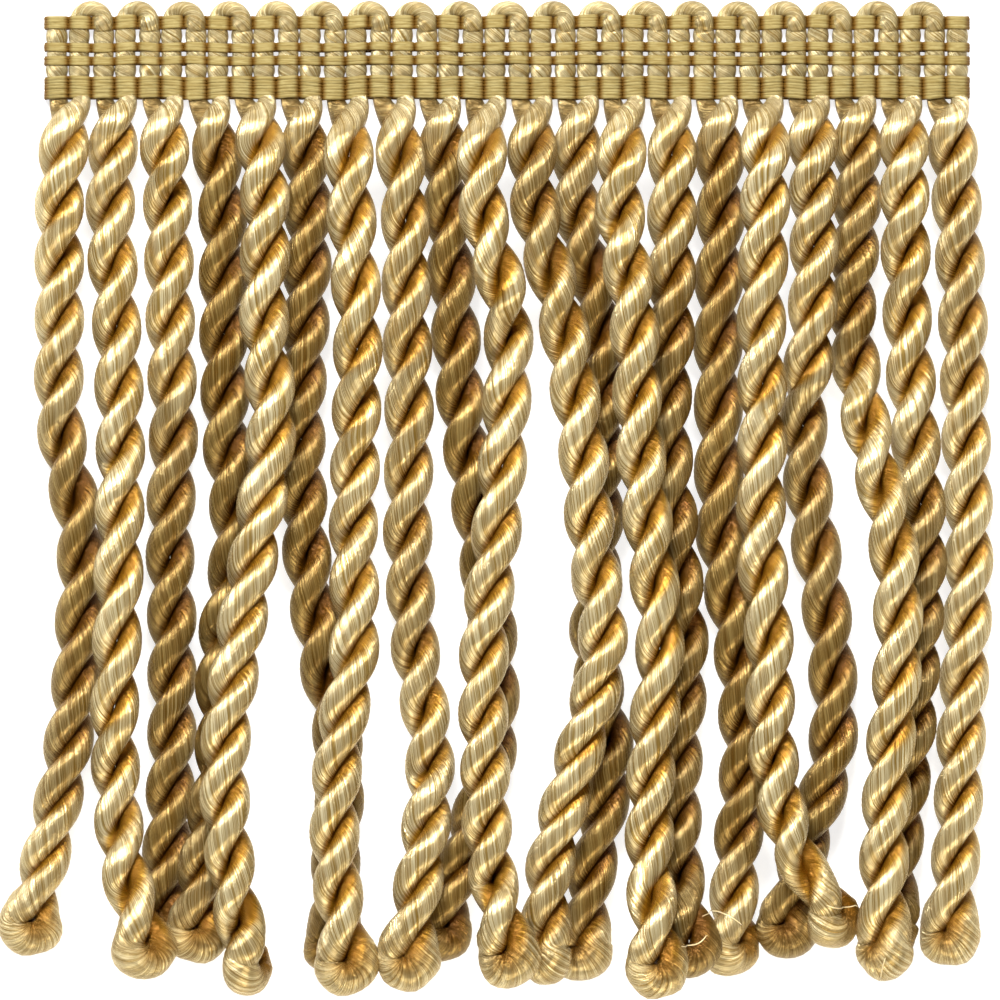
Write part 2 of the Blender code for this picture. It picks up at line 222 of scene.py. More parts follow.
# %% Lay all the cords
def lay_cords():
    """Work out each cord's axis: its sway from the table, its height by resting it on
    the cords that it passes over."""
    longest = max(lie.drop for lie in CORDS.values()) * MM + LOOP_REACH
    down = np.arange(0.0, longest, SAMPLE)
    cords = {}
    for index, (name, lie) in enumerate(CORDS.items()):
        drop = lie.drop * MM - LOOP_LIFT
        places = np.append(STATION * np.arange(len(lie.sway)), drop)
        middle = (index - (CORD_COUNT - 1) / 2) * CORD_PITCH
        sway = smooth_read(places, np.array((0.0,) + lie.sway) * MM, down)
        ahead = np.array((0,) + TWIST_AHEAD[name] + TWIST_AHEAD[name][-1:]) / 100
        share = np.minimum(down / drop, 1.0)
        half_turns = HALF_TURNS * share + smooth_read(TWIST_PLACES, ahead, share)
        turning = smooth_step((down - drop + LOOP_LENGTH) / LOOP_LENGTH)
        offset = PLY_OFFSET + (LOOP_OFFSET - PLY_OFFSET) * turning
        depth = PLY_RADIUS * (PLY_MARGIN + (LOOP_SWELL - 1) * turning)
        cords[name] = {
            "middle": middle,
            "down": down,
            "drop": drop,
            "across": middle + ROOT_SHIFT + sway,
            "layer": np.interp(down, places[1:], lie.layer) + LAYER_STEP * index,
            "phase": math.pi * half_turns,
            "offset": offset,
            "floor": offset * np.abs(np.sin(math.pi * half_turns)) + depth,
            "is_there": (down > ROOT_SPREAD / 2) & (down < drop + LOOP_REACH),
            "height": np.full(len(down), FLOOR_HEIGHT),
        }
    row = list(cords.values())
    for _ in range(SWEEPS):
        for index, cord in enumerate(row):
            height = np.maximum(cord["floor"], FLOOR_HEIGHT)
            for other in row[max(0, index - NEIGHBOURS):index + NEIGHBOURS + 1]:
                is_over = cord["layer"] > other["layer"]
                resting = other["height"] + needed_rise(cord, other)
                height = np.where(is_over, np.maximum(height, resting), height)
            cord["height"] = eased(height)
    for index, cord in enumerate(row):
        sides = row[max(0, index - 1):index] + row[index + 1:index + 2]
        cord["buried"] = painted_shade_under(cord, sides)
        off_floor = (cord["height"] - FLOOR_HEIGHT) * smooth_step(down / ROOT_SPREAD)
        off_root = (FLOOR_HEIGHT - ROOT_HEIGHT) * smooth_step(down / ROOT_RISE)
        cord["height"] = ROOT_HEIGHT + off_root + off_floor
    return cords


cords = lay_cords()
print("highest cord centre", round(max(c["height"].max() for c in cords.values()) / MM, 1), "mm")

# %% [markdown]
# ## Camera and floor first
# The picture looks straight down on the trim. A long lens far away keeps the sides of
# the cords from showing, as in a catalogue picture, and it keeps a place measured in
# the picture true for every height in the pile.

# %% Camera straight above the trim
VIEW_CENTRE = (-1.08 * MM, -70.07 * MM)
VIEW_WIDTH = 154.0 * MM
LENS = 250.0
SENSOR = 36.0
FOCUS_HEIGHT = 6.0 * MM

camera_data = bpy.data.cameras.new("camera")
camera_data.lens = LENS
camera_data.sensor_width = SENSOR
camera = bpy.data.objects.new("camera", camera_data)
camera.location = (*VIEW_CENTRE, FOCUS_HEIGHT + VIEW_WIDTH * LENS / SENSOR)
bpy.context.scene.collection.objects.link(camera)
bpy.context.scene.camera = camera
print("camera", round(camera.location.z, 2), "m above the floor")

# %% A plain floor
FLOOR_SIZE = 3.0

bm = bmesh.new()
bmesh.ops.create_grid(bm, x_segments=1, y_segments=1, size=FLOOR_SIZE / 2)
floor_mesh = bpy.data.meshes.new("floor")
bm.to_mesh(floor_mesh)
bm.free()
floor = bpy.data.objects.new("floor", floor_mesh)
bpy.context.scene.collection.objects.link(floor)
print("floor", FLOOR_SIZE, "m wide")

# %% [markdown]
# ## A yarn is a swept outline
# Two soft plies that are laid together press flat on each other, so each one is more
# like a half-round than a circle: full outside and flatter towards the core. We sweep
# that outline along the yarn, and the curve's tilt keeps its flatter side turned to the
# core, so that two plies close up to a narrow groove.

# %% Outlines for the soft yarn and the warp thread
SEED = 7
SIDE_FULLNESS = 0.9

random = np.random.default_rng(SEED)
guides = bpy.data.collections.new("guides")
bpy.context.scene.collection.children.link(guides)


def half_round(name, points, width, inner_depth, squareness):
    """Make a closed outline, full towards +x, flatter towards -x, 1 deep outside."""
    data = bpy.data.curves.new(name, "CURVE")
    data.dimensions = "2D"
    spline = data.splines.new("POLY")
    spline.points.add(points - 1)
    spline.use_cyclic_u = True
    for point, angle in zip(spline.points, np.linspace(0, 2 * math.pi, points + 1)):
        x, y = math.cos(angle), math.sin(angle)
        if x < 0:
            x = -inner_depth * (-x) ** squareness
        point.co = (x, width * math.copysign(abs(y) ** SIDE_FULLNESS, y), 0, 1)
    outline = bpy.data.objects.new(name, data)
    outline.hide_render = True
    guides.objects.link(outline)
    return outline


ply_outline = half_round("ply_outline", 24, 1.08, 0.94, 0.95)
weft_outline = half_round("weft_outline", 16, 1.28, 0.90, 0.85)
warp_outline = half_round("warp_outline", 10, 1.45, 1.0, 1.0)
print("outlines", [outline.name for outline in (ply_outline, weft_outline, warp_outline)])

# %% [markdown]
# ## Sweep it, and remember where the filaments run
# The filaments wind round the yarn, so each point of the mesh keeps some values for the
# finish: how far along the yarn it is, how far the filaments have turned there, how
# strongly the shade of the groove beside it is painted, how much painted shade it gets
# for lying under other cords, and onto which flank of the yarn the painted groove shade
# is shifted.

# %% Sweep an outline along paths
UP = np.array([0.0, 0.0, 1.0])
WELD_DISTANCE = 0.0005 * MM
Path = namedtuple("Path", "points radii out lay groove buried flank", defaults=[None])
Wander = namedtuple("Wander", "period amount")


def path_length(points):
    """Give the distance along a path at each of its points."""
    steps = np.linalg.norm(np.diff(points, axis=0), axis=1)
    return np.concatenate([[0.0], np.cumsum(steps)])


def tilt_towards(points, out):
    """Give the tilt that turns an outline's +x side towards the given directions."""
    along = np.gradient(points, axis=0)
    level = np.cross(along, UP)
    level /= np.linalg.norm(level, axis=1)[:, None]
    rising = np.cross(along, level)
    rising /= np.linalg.norm(rising, axis=1)[:, None]
    return np.unwrap(np.arctan2((out * rising).sum(axis=1), (out * level).sum(axis=1)))


def add_spline(data, path):
    """Add one path to a curve."""
    spline = data.splines.new("POLY")
    count = len(path.points)
    spline.points.add(count - 1)
    spline.points.foreach_set("co", np.hstack([path.points, np.ones((count, 1))]).ravel())
    spline.points.foreach_set("radius", path.radii)
    spline.points.foreach_set("tilt", tilt_towards(path.points, path.out))


def sweep_one(outline, path):
    """Make the mesh of one path, with its values stored at each vertex."""
    data = bpy.data.curves.new("path", "CURVE")
    data.dimensions = "3D"
    data.twist_mode = "Z_UP"
    data.bevel_mode = "OBJECT"
    data.bevel_object = outline
    data.use_fill_caps = True
    add_spline(data, path)
    holder = bpy.data.objects.new("path", data)
    guides.objects.link(holder)
    evaluated = holder.evaluated_get(bpy.context.evaluated_depsgraph_get())
    mesh = bpy.data.meshes.new_from_object(evaluated)
    bpy.data.objects.remove(holder)
    corners = np.empty(len(mesh.loops), dtype=int)
    mesh.loops.foreach_get("vertex_index", corners)
    uv = np.empty(2 * len(mesh.loops), dtype=np.float32)
    mesh.uv_layers[0].uv.foreach_get("vector", uv)
    place = np.zeros(len(mesh.vertices))
    place[corners[::-1]] = uv.reshape(-1, 2)[::-1, 0]
    index = np.rint(place * (len(path.points) - 1)).astype(int)
    flank = np.zeros(len(path.points)) if path.flank is None else path.flank
    values = {"along": path_length(path.points) / MM, "lay": path.lay,
              "groove": path.groove, "buried": path.buried, "flank": flank}
    for name, value in values.items():
        stored = mesh.attributes.new(name, "FLOAT", "POINT")
        stored.data.foreach_set("value", value[index].astype(np.float32))
    return mesh


def sweep(name, outline, paths):
    """Join the meshes of several paths to one piece that rides on the root.

    Nothing sinks into the surface that the trim lies on: what would is pressed flat."""
    bm = bmesh.new()
    for path in paths:
        mesh = sweep_one(outline, path)
        bm.from_mesh(mesh)
        bpy.data.meshes.remove(mesh)
    bmesh.ops.remove_doubles(bm, verts=bm.verts, dist=WELD_DISTANCE)
    for vertex in bm.verts:
        vertex.co.z = max(vertex.co.z, 0.0)
    mesh = bpy.data.meshes.new(name)
    bm.to_mesh(mesh)
    bm.free()
    mesh.shade_smooth()
    piece = bpy.data.objects.new(name, mesh)
    bpy.context.scene.collection.objects.link(piece)
    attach(piece, "root")
    return piece


def slow_wander(count, period, amount):
    """Give smooth random values: knots every few samples with a curve through them."""
    knots = random.uniform(-amount, amount, count // period + 3)
    return smooth_read(np.arange(len(knots)) * float(period), knots, np.arange(count, dtype=float))


# %% [markdown]
# ## The cords
# One yarn makes a whole cord. It comes down out of its heading column, winds round the
# cord's axis, turns back in the loop at the bottom and winds up again to the next
# column. So a cord is one sweep, and its loop is a real loop. The filaments turn the
# other way from the plies, which is what keeps a laid cord from opening, and is why
# they stand nearly upright on the front of each ply. Soft yarn is never even, so its
# thickness and the turn of its filaments wander a little.

# %% The path of the yarn through one cord
PATH_STEP = 0.6 * MM
FILAMENT_TWIST = 0.68 / MM
LOOP_TWIST = 1.1 / MM
LOOP_STEPS = 16
# How strongly the groove's shade is painted in the loop
LOOP_GROOVE = 0.8
LOOP_REACHES_UP = 6.0 * MM
# Painted shade on the ply that starts behind at the root, and on the yarn near the loop
ROOT_SHADE = 0.85
ROOT_SHADE_START = 3.0 * MM
ROOT_SHADE_LENGTH = 5.0 * MM
LOOP_SHADE = 0.25
PLY_WANDER = Wander(9, 0.03)
LOOP_WANDER = Wander(2, 0.10)
TWIST_WANDER = Wander(12, 0.18)
LAY_START = 6
BAND_DEPTH = 2.7 * MM
COLUMN_RADIUS = 1.24 * MM
SWELL_LENGTH = 4.5 * MM
LEAD_LENGTH = 5.5 * MM
TURN_LENGTH = 7.0 * MM
# Where the groove's painted shade starts below the heading
GROOVE_START = 3.0 * MM


def ply_path(cord, side, places):
    """Give one ply's centre line and its outward direction; side +1 starts right."""
    down = np.maximum(places, 0.0)
    x, z, phase, offset = (np.interp(down, cord["down"], cord[key])
                           for key in ("across", "height", "phase", "offset"))
    wound = np.stack([x + side * offset * np.cos(phase), STRIP_EDGE - places,
                      z + side * offset * np.sin(phase)], axis=1)
    column_x = cord["middle"] + side * COLUMN_PITCH / 2
    straight = np.stack([np.full_like(places, column_x), STRIP_EDGE - places,
                         np.full_like(places, ROOT_HEIGHT)], axis=1)
    lead = smooth_step((places + BAND_DEPTH) / LEAD_LENGTH)[:, None]
    flat = 1 - smooth_step(places / TURN_LENGTH)
    faced = phase + (math.pi / 2 - phase) * flat
    out = side * np.stack([np.cos(faced), np.zeros_like(faced), np.sin(faced)], axis=1)
    return straight * (1 - lead) + wound * lead, out


def loop_path(cord):
    """Give the half ring in which the yarn turns back, its outward direction and swell."""
    x, z, phase = (np.interp(cord["drop"], cord["down"], cord[key])
                   for key in ("across", "height", "phase"))
    angles = np.linspace(0.0, math.pi, LOOP_STEPS + 1)[1:-1]
    out = np.stack([np.cos(angles) * math.cos(phase), -np.sin(angles),
                    np.cos(angles) * math.sin(phase)], axis=1)
    swell = LOOP_SWELL + (LOOP_FULL - LOOP_SWELL) * np.sin(angles)
    reach = LOOP_OFFSET + PLY_RADIUS * (swell - LOOP_SWELL)
    centre = np.array([x, STRIP_EDGE - cord["drop"], z])
    return centre + reach[:, None] * out, out, swell


def cord_path(cord):
    """Give the whole yarn of a cord: down, round the loop and up."""
    places = np.arange(-BAND_DEPTH, cord["drop"], PATH_STEP)
    right, right_out = ply_path(cord, 1, places)
    left, left_out = ply_path(cord, -1, places)
    turn, turn_out, turn_swell = loop_path(cord)
    points = np.concatenate([right, turn, left[::-1]])
    out = np.concatenate([right_out, turn_out, left_out[::-1]])
    near_loop = smooth_step((places - cord["drop"] + LOOP_REACHES_UP) / LOOP_REACHES_UP)
    swell = COLUMN_RADIUS + (PLY_RADIUS - COLUMN_RADIUS) * smooth_step(places / SWELL_LENGTH)
    swell = swell * (1 + (LOOP_SWELL - 1) * near_loop)
    radii = np.concatenate([swell, PLY_RADIUS * turn_swell, swell[::-1]])
    radii = radii * (1 + slow_wander(len(radii), *PLY_WANDER))
    near = np.concatenate([near_loop, np.ones(len(turn)), near_loop[::-1]])
    radii = radii * (1 + near * slow_wander(len(radii), *LOOP_WANDER))
    # How strongly the groove's painted shade shows: none at the root, less in the loop
    groove = smooth_step((places - GROOVE_START) / GROOVE_START)
    groove = np.concatenate([groove, np.full(len(turn), LOOP_GROOVE), groove[::-1]])
    rate = FILAMENT_TWIST + (LOOP_TWIST - FILAMENT_TWIST) * near_loop
    rate = np.concatenate([rate, np.full(len(turn), LOOP_TWIST), rate[::-1]])
    rate = rate * (1 + slow_wander(len(rate), *TWIST_WANDER))
    lay = np.cumsum(rate * np.gradient(path_length(points))) + random.uniform(0, LAY_START)
    # Painted shade: under higher cords, near the loop, and on the ply behind at the root
    buried = np.interp(places, cord["down"], cord["buried"])
    buried = np.maximum(buried, LOOP_SHADE * near_loop)
    clear = smooth_step((places - ROOT_SHADE_START) / ROOT_SHADE_LENGTH)
    behind = np.maximum(buried, ROOT_SHADE * (1 - clear))
    buried = np.concatenate([buried, np.full(len(turn), buried[-1]), behind[::-1]])
    # The flank that the painted groove shade shifts onto: the upper one, under the ply above
    flank = np.ones(len(places))
    flank = np.concatenate([flank, np.linspace(1, -1, len(turn)), -flank])
    return Path(points, radii, out, lay, groove, buried, flank)


cord_pieces = []
for name, cord in cords.items():
    piece = sweep("cord_" + name, ply_outline, [cord_path(cord)])
    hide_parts("fringe")
    cord_pieces.append(piece)
print("triangles in a cord", sum(len(p.vertices) - 2 for p in cord_pieces[0].data.polygons))

# %% [markdown]
# ## The heading's columns
# The same yarn fills the heading. From the right column of one cord it goes up, over a
# scallop and down the left column of the next cord. Rows of warp threads tie it down,
# so it is pinched where they cross and swells between them.

# %% Columns joined by scallops
Pinch = namedtuple("Pinch", "y swell")
PINCHES = [Pinch(-5.8, 0.98), Pinch(-4.9, 0.98), Pinch(-3.5, 1.14), Pinch(-2.15, 0.97),
           Pinch(-1.1, 1.04), Pinch(0.0, 0.97), Pinch(1.7, 1.13), Pinch(3.3, 0.98),
           Pinch(4.2, 1.02), Pinch(5.8, 1.0)]
WEFT_RADIUS = 1.16 * MM
WEFT_HEIGHT = 1.40 * MM
WEFT_FOOT = -5.4 * MM
PAIR_GAP = 0.11 * MM
SCALLOP_START = 4.35 * MM
SCALLOP_RISE = 1.55 * MM
SCALLOP_THIN = 0.80
SCALLOP_EARLY = 0.4
SCALLOP_STEPS = 17
OVER_WARP = 0.75 * MM
OVER_START = 2.6 * MM
OVER_LENGTH = 0.9 * MM
WEFT_STEP = 0.32 * MM
WEFT_TWIST = 0.8 / MM
WEFT_WANDER = Wander(5, 0.03)
WEFT_TWIST_WANDER = Wander(6, 0.7)


def swell_at(y):
    """Give the yarn's thickness at a place up the heading."""
    rows = np.array([pinch.y for pinch in PINCHES]) * MM
    return smooth_read(rows, np.array([pinch.swell for pinch in PINCHES]), y)


def column_points(x, upwards):
    """Give the straight part of a column; the yarn comes down over the top warps."""
    y = np.arange(WEFT_FOOT, SCALLOP_START, WEFT_STEP)
    over = 0.0 if upwards else OVER_WARP * smooth_step((y - OVER_START) / OVER_LENGTH)
    points = np.stack([np.full_like(y, x), y, WEFT_HEIGHT + over + 0 * y], axis=1)
    return points if upwards else points[::-1]


def weft_path(points):
    """Add the thickness and the filaments' turn to a column's centre line."""
    count = len(points)
    y = points[:, 1]
    up_scallop = (y - SCALLOP_START) / SCALLOP_RISE + SCALLOP_EARLY
    thin = 1 - (1 - SCALLOP_THIN) * smooth_step(up_scallop)
    radii = WEFT_RADIUS * swell_at(y) * thin * (1 + slow_wander(count, *WEFT_WANDER))
    rate = WEFT_TWIST * (1 + slow_wander(count, *WEFT_TWIST_WANDER))
    lay = np.cumsum(rate * np.gradient(path_length(points))) + random.uniform(0, LAY_START)
    # The heading's yarn takes the painted groove shade in full
    return Path(points, radii, np.tile(UP, (count, 1)), lay, np.ones(count), np.zeros(count))


def scallop_pair(left_x):
    """Give the line up one column, over the scallop and down the next."""
    angles = np.linspace(math.pi, 0.0, SCALLOP_STEPS + 1)[1:-1]
    reach = COLUMN_PITCH / 2 + PAIR_GAP
    over = OVER_WARP * (1 + np.cos(angles)) / 2
    arch = np.stack([left_x + COLUMN_PITCH / 2 + reach * np.cos(angles),
                     SCALLOP_START + SCALLOP_RISE * np.sin(angles),
                     WEFT_HEIGHT + over], axis=1)
    up = column_points(left_x - PAIR_GAP, True)
    down = column_points(left_x + COLUMN_PITCH + PAIR_GAP, False)
    return np.concatenate([up, arch, down])


column_x = (np.arange(COLUMN_COUNT) - (COLUMN_COUNT - 1) / 2) * COLUMN_PITCH
wefts = [weft_path(scallop_pair(x)) for x in column_x[1:-1:2]]
wefts += [weft_path(column_points(x, True)) for x in (column_x[0], column_x[-1])]
weft_piece = sweep("heading_wefts", weft_outline, wefts)
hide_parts("heading")
print("columns", len(column_x), "scallops", len(wefts) - 2)

# %% [markdown]
# ## The warps
# Fine duller threads run along the heading. Each one lies over every column like a
# small band and dips deep into the gap between two columns. Four tie the scallops, two
# rows of three hold the middle, and a flat band of seven closes the bottom, where the
# cords leave. A second set does the same at the back.

# %% Warp threads in their rows
HEADING_WARPS = [4.45, 4.00, 3.55, 3.10, 0.30, -0.05, -0.40, -1.78, -2.13, -2.48]
BAND_WARPS = [-4.95, -5.42, -5.89, -6.36, -6.83, -7.30, -7.72]
WARP_RADIUS = 0.25 * MM
WARP_TOP = 2.66 * MM
WARP_DIP = 1.9 * MM
WARP_BACK = 0.30 * MM
WARP_BACK_DIP = 0.5 * MM
WARP_SQUARENESS = 2.4
GAP_START = 0.52
GAP_WIDTH = 0.30
STEPS_PER_COLUMN = 12
WARP_STEPS = COLUMN_COUNT * STEPS_PER_COLUMN
ROW_WANDER = Wander(STEPS_PER_COLUMN, 0.16 * MM)
SIDE_WANDER = Wander(14, 0.07 * MM)
HEIGHT_WANDER = Wander(7, 0.04 * MM)
WARP_WANDER = Wander(6, 0.10)


def warp_path(y, is_front):
    """Give one thread: round over each column, deep down between two."""
    count = WARP_STEPS + 1
    x = np.linspace(-0.5, 0.5, count) * HEADING_LENGTH
    across = np.abs((np.arange(count) / STEPS_PER_COLUMN) % 1.0 - 0.5) * 2
    arch = np.sqrt(np.clip(1 - across ** WARP_SQUARENESS, 0, 1))
    z = WARP_TOP - WARP_DIP * (1 - arch) if is_front else WARP_BACK + WARP_BACK_DIP * (1 - arch)
    y = y + slow_wander(count, *SIDE_WANDER)
    z = z + slow_wander(count, *HEIGHT_WANDER)
    radii = WARP_RADIUS * (1 + slow_wander(count, *WARP_WANDER))
    zeros = np.zeros(count)
    # Painted shade where the thread dips between two columns
    painted_gap_shade = smooth_step((across - GAP_START) / GAP_WIDTH)
    return Path(np.stack([x, y, z], axis=1), radii, np.tile(UP, (count, 1)), zeros, painted_gap_shade, zeros)


def warp_piece(name, rows):
    """Make the warps of several rows, with those at the back."""
    uneven = slow_wander(WARP_STEPS + 1, *ROW_WANDER)
    front = [warp_path(y * MM + uneven, True) for y in rows]
    back = [warp_path(y * MM, False) for y in rows]
    return sweep(name, warp_outline, front + back)


heading_warps = warp_piece("heading_warps", HEADING_WARPS)
band_warps = warp_piece("band_warps", BAND_WARPS)
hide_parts("heading")
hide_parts("fringe")
print("warps", len(HEADING_WARPS + BAND_WARPS), "at the front and as many at the back")

# %% [markdown]
# ## Shader maths as Python
# A material is a calculation, so we write it as one. A small class wraps a socket and
# overloads the operators, with their reflected forms so that a plain number may stand
# on either side, and one method makes every other node.

# %% A socket that takes part in expressions, and a material that makes nodes
class Wire:
    """A shader value: adding or multiplying it adds a Math node."""

    def __init__(self, socket):
        self.socket = socket

    def math(self, operation, *values):
        """Add a Math node whose inputs are the values in order."""
        node = self.socket.id_data.nodes.new("ShaderNodeMath")
        node.operation = operation
        for entry, value in zip(node.inputs, values):
            plug(entry, value)
        return Wire(node.outputs[0])

    def __add__(self, other):
        return self.math("ADD", self, other)

    def __radd__(self, other):
        return self.math("ADD", other, self)

    def __sub__(self, other):
        return self.math("SUBTRACT", self, other)

    def __rsub__(self, other):
        return self.math("SUBTRACT", other, self)

    def __mul__(self, other):
        return self.math("MULTIPLY", self, other)

    def __rmul__(self, other):
        return self.math("MULTIPLY", other, self)


def plug(entry, value):
    """Link a wire to a socket, or set the socket's own value."""
    if isinstance(value, Wire):
        entry.id_data.links.new(value.socket, entry)
    else:
        entry.default_value = value


class Finish:
    """A material, the one method that adds a node to it, and a few short forms."""

    def __init__(self, name):
        self.material = bpy.data.materials.new(name)
        self.material.use_nodes = True
        self.tree = self.material.node_tree
        self.tree.nodes.clear()

    def make(self, kind, settings=None, sockets=None, output=0):
        """Add a node, set its settings, then fill its sockets."""
        node = self.tree.nodes.new("ShaderNode" + kind)
        for key, value in (settings or {}).items():
            setattr(node, key, value)
        for key, value in (sockets or {}).items():
            plug(node.inputs[key], value)
        return Wire(node.outputs[output]) if len(node.outputs) else node

    def mix(self, factor, low, high, blend="MIX"):
        """Mix two colours."""
        return self.make("Mix", {"data_type": "RGBA", "blend_type": blend},
                         {0: factor, 6: low, 7: high}, output=2)

    def step(self, value, low, high):
        """Ease a value from 0 at low to 1 at high."""
        return self.make("MapRange", {"interpolation_type": "SMOOTHSTEP"},
                         {"Value": value, "From Min": low, "From Max": high})

    def stored(self, name):
        """Read a value that the sweep stored on the mesh."""
        return self.make("Attribute", {"attribute_name": name}, output=2)

    def noise(self, vector, scale, detail=2.0, roughness=0.5):
        """Add a noise pattern."""
        return self.make("TexNoise", {}, {"Vector": vector, "Scale": scale, "Detail": detail,
                                          "Roughness": roughness})


# %% [markdown]
# ## Silk that shines along its filaments
# Rayon filament reflects light like a bundle of tiny rods. The fine relief is noise
# that is long along the yarn and very fine round it, read from the sweep's own UV map,
# so it follows every filament through the twist and round the loop. In the grooves
# light bounces from gold to gold and turns orange, then brown: this bounce light and
# shade is painted into the colour, a little further up the upper flank of the ply, which
# lies in the shadow of the ply above, than up the other. Where a cord lies under or
# between higher ones, its colour is darkened as painted shade too.

# %% The yarn's finish
# Shift of the painted groove shade onto the upper flank, shaded by the ply above
GROOVE_SHADOW_SHIFT = 0.07
GOLD_LIGHT = (0.80, 0.71, 0.45, 1.0)
GOLD_MID = (0.24, 0.135, 0.020, 1.0)
GOLD_DEEP = (0.34, 0.22, 0.053, 1.0)
HEADING_TONE = (0.66, 0.655, 0.61, 1.0)
# Painted shade for cords under higher ones
BURIED_SHADE_TINT = (0.42, 0.335, 0.18, 1.0)
# Painted bounce light and painted shade deep in the grooves
GROOVE_PAINTED_BOUNCE = (0.62, 0.40, 0.06, 1.0)
GROOVE_PAINTED_SHADE = (0.22, 0.092, 0.004, 1.0)
PLAIN_TONE = (1.0, 1.0, 1.0, 1.0)

STREAKS = (10.5, 14.0)
STREAK_EDGES = (0.39, 0.61)
BAND_LENGTH = 9.0
BAND_EDGES = (0.60, 0.36)
BAND_SHARE = 0.5
BAND_RELIEF = 0.3
# Where round the ply the painted bounce light and the painted shade begin and are full
PAINTED_BOUNCE_EDGES = (0.34, 0.19)
PAINTED_SHADE_EDGES = (0.23, 0.12)
SILK_RELIEF = 0.20 * MM
SILK_IOR = 1.5
SILK_GLOSS = 0.6
SILK_GLOSS_TINT = (1.0, 0.93, 0.75, 1.0)


def silk(name, groups, roughness, shine, tone=PLAIN_TONE):
    """Make the shiny yarn, with softer bands where groups of filaments lie."""
    finish = Finish(name)
    uv = finish.make("UVMap", {"uv_map": "UVMap"})
    around = finish.make("SeparateXYZ", {}, {0: uv}, output=1)
    along, lay, groove, buried, flank = (
        finish.stored(value) for value in ("along", "lay", "groove", "buried", "flank"))
    angle = around * (2 * math.pi) - lay

    def filaments(fineness, length):
        """Give a place that is fine round the yarn and long along it."""
        ring = {"X": angle.math("COSINE", angle) * fineness,
                "Y": angle.math("SINE", angle) * fineness, "Z": along * (1 / length)}
        return finish.make("CombineXYZ", {}, ring)

    fine = finish.noise(filaments(*STREAKS), 1.0, detail=3.0, roughness=0.7)
    broad = finish.noise(filaments(groups, BAND_LENGTH), 1.0)
    colour = finish.mix(finish.step(fine, *STREAK_EDGES), GOLD_DEEP, GOLD_LIGHT)
    colour = finish.mix(finish.step(broad, *BAND_EDGES) * BAND_SHARE, colour, GOLD_MID)
    # Painted bounce light and painted shade in the groove, shifted onto the shadowed upper flank
    inner = around - 0.5 - flank * GROOVE_SHADOW_SHIFT
    inner = inner.math("ABSOLUTE", inner)
    shaded = finish.mix(1.0, colour, GROOVE_PAINTED_BOUNCE, "MULTIPLY")
    colour = finish.mix(finish.step(inner, *PAINTED_BOUNCE_EDGES) * groove, colour, shaded)
    colour = finish.mix(finish.step(inner, *PAINTED_SHADE_EDGES) * groove, colour, GROOVE_PAINTED_SHADE)
    # Painted shade where a cord lies under or between higher ones
    colour = finish.mix(buried, colour, finish.mix(1.0, colour, BURIED_SHADE_TINT, "MULTIPLY"))
    colour = finish.mix(1.0, colour, tone, "MULTIPLY")
    bump = finish.make("Bump", {}, {"Height": fine + broad * BAND_RELIEF, "Strength": 1.0,
                                    "Distance": SILK_RELIEF})
    shader = finish.make("BsdfPrincipled", {}, {
        "Base Color": colour, "Roughness": roughness, "Normal": bump, "Metallic": shine,
        "IOR": SILK_IOR, "Specular IOR Level": SILK_GLOSS, "Specular Tint": SILK_GLOSS_TINT})
    finish.make("OutputMaterial", {}, {"Surface": shader})
    return finish.material


bullion_silk = silk("bullion_silk", groups=2.6, roughness=0.27, shine=0.66)
heading_silk = silk("heading_silk", groups=2.2, roughness=0.33, shine=0.55, tone=HEADING_TONE)
for piece in cord_pieces:
    piece.data.materials.append(bullion_silk)
weft_piece.data.materials.append(heading_silk)
print("nodes in the silk", len(bullion_silk.node_tree.nodes))

# %% [markdown]
# ## Khaki warps
# The warps are spun, not filament, so they are duller: higher roughness, little gloss
# and a soft mottle. Their grain is noise on object coordinates, stretched along the
# heading. Where a warp dips between two columns it is in their shade, and that shade is
# painted into its colour as brown.

# %% The warps' finish
KHAKI = (0.255, 0.205, 0.083, 1.0)
KHAKI_DARK = (0.19, 0.14, 0.046, 1.0)
# Painted shade where a warp dips between two columns
KHAKI_PAINTED_SHADE = (0.12, 0.05, 0.002, 1.0)
GAP_SHADE = 0.92
GRAIN_SCALE = (500, 4000, 900)
GRAIN_EDGES = (0.35, 0.65)
GRAIN_STRENGTH = 0.5
GRAIN_RELIEF = 0.10 * MM
MOTTLE_SCALE = 600.0
MOTTLE_EDGES = (0.6, 0.4)
MOTTLE_SHARE = 0.3
WARP_ROUGHNESS = 0.62
WARP_GLOSS = 0.15
WARP_GLOSS_TINT = (1.0, 0.9, 0.6, 1.0)


def spun(name):
    """Make the dull warp yarn."""
    finish = Finish(name)
    place = finish.make("TexCoord", {}, output=3)
    stretched = finish.make("Mapping", {}, {"Vector": place, "Scale": GRAIN_SCALE})
    grain = finish.noise(stretched, 1.0, detail=3.0)
    mottle = finish.noise(place, MOTTLE_SCALE)
    colour = finish.mix(finish.step(grain, *GRAIN_EDGES), KHAKI_DARK, KHAKI)
    colour = finish.mix(finish.step(mottle, *MOTTLE_EDGES) * MOTTLE_SHARE, colour, KHAKI_DARK)
    # Painted shade in the dips between columns, read from the sweep's stored value
    colour = finish.mix(finish.stored("groove") * GAP_SHADE, colour, KHAKI_PAINTED_SHADE)
    bump = finish.make("Bump", {}, {"Height": grain, "Strength": GRAIN_STRENGTH,
                                    "Distance": GRAIN_RELIEF})
    shader = finish.make("BsdfPrincipled", {}, {
        "Base Color": colour, "Roughness": WARP_ROUGHNESS, "Normal": bump,
        "Specular IOR Level": WARP_GLOSS, "Specular Tint": WARP_GLOSS_TINT})
    finish.make("OutputMaterial", {}, {"Surface": shader})
    return finish.material


